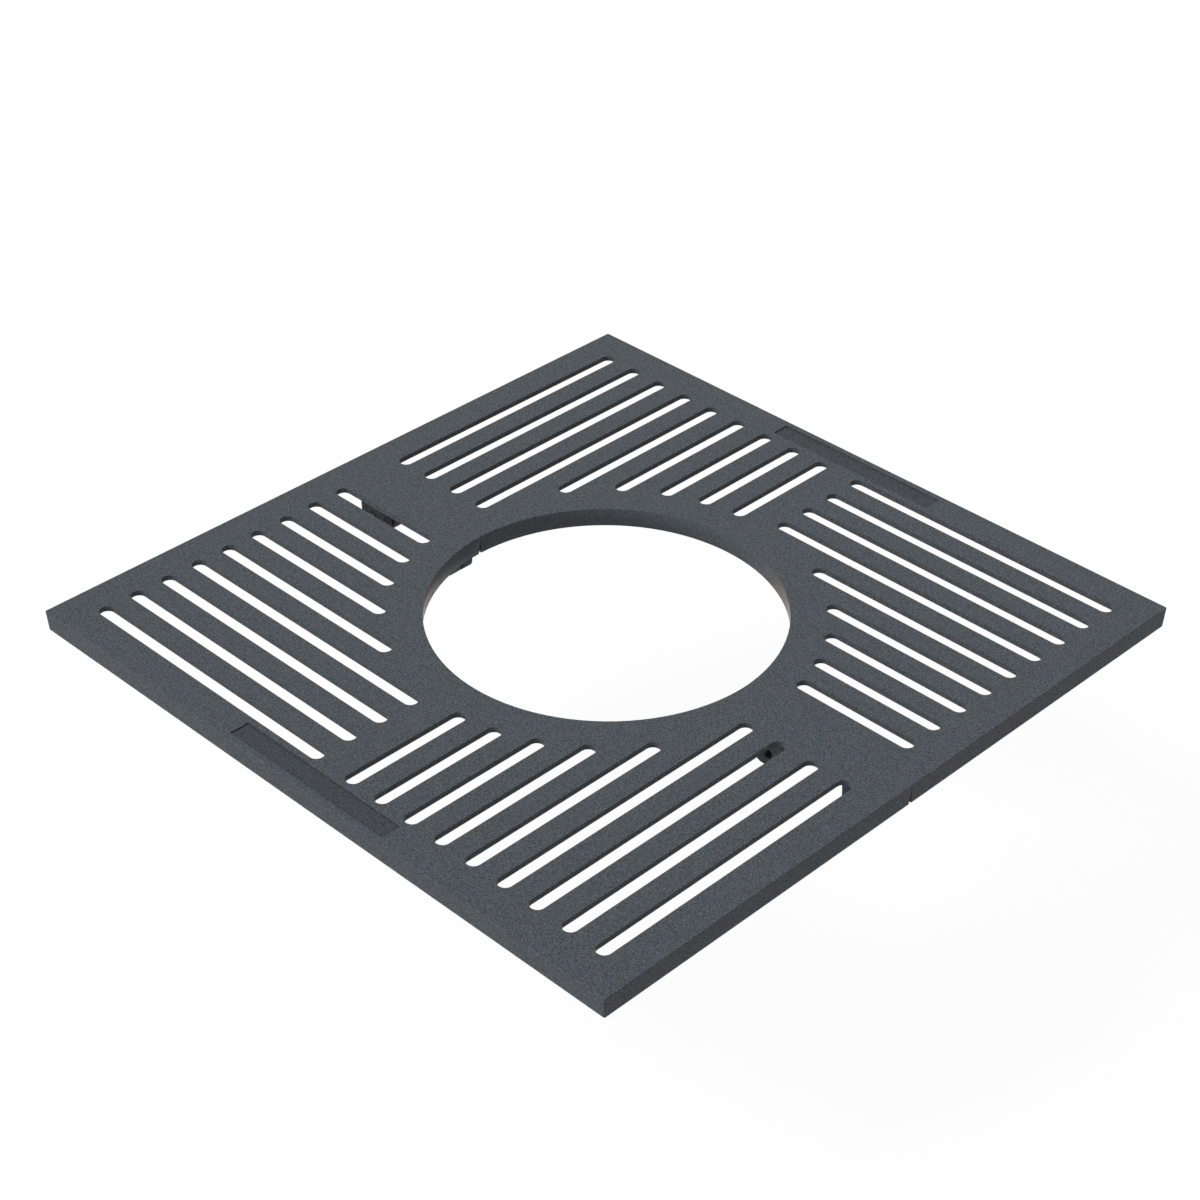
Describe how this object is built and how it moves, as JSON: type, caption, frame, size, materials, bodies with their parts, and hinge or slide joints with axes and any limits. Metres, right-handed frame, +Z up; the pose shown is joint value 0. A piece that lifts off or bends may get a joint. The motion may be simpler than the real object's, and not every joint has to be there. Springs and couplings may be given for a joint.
{
  "type": "tree grate",
  "caption": "Square slotted cast iron tree grate in two bolted halves around a round opening, with a ring band, a hollow ribbed underside and hanging bolt lugs.",
  "frame": {"origin": "centre of the tree opening, in the plane of the rim's lower edge, on which the grate rests in its ground frame", "axes": "+Z up, +X along the joint between the halves, +Y across the joint from the front half to the back half"},
  "size_m": [0.9898, 0.9998, 0.076],
  "materials": {
    "casting": "matte",
    "fastener": "satin"
  },
  "bodies": {
    "root": {"grate_half_front": "casting", "grate_half_back": "casting", "tie_bolt_left": "fastener", "tie_bolt_right": "fastener", "washer_head_left": "fastener", "washer_head_right": "fastener", "washer_nut_left": "fastener", "washer_nut_right": "fastener", "nut_left": "fastener", "nut_right": "fastener"}
  },
  "joints": []
}
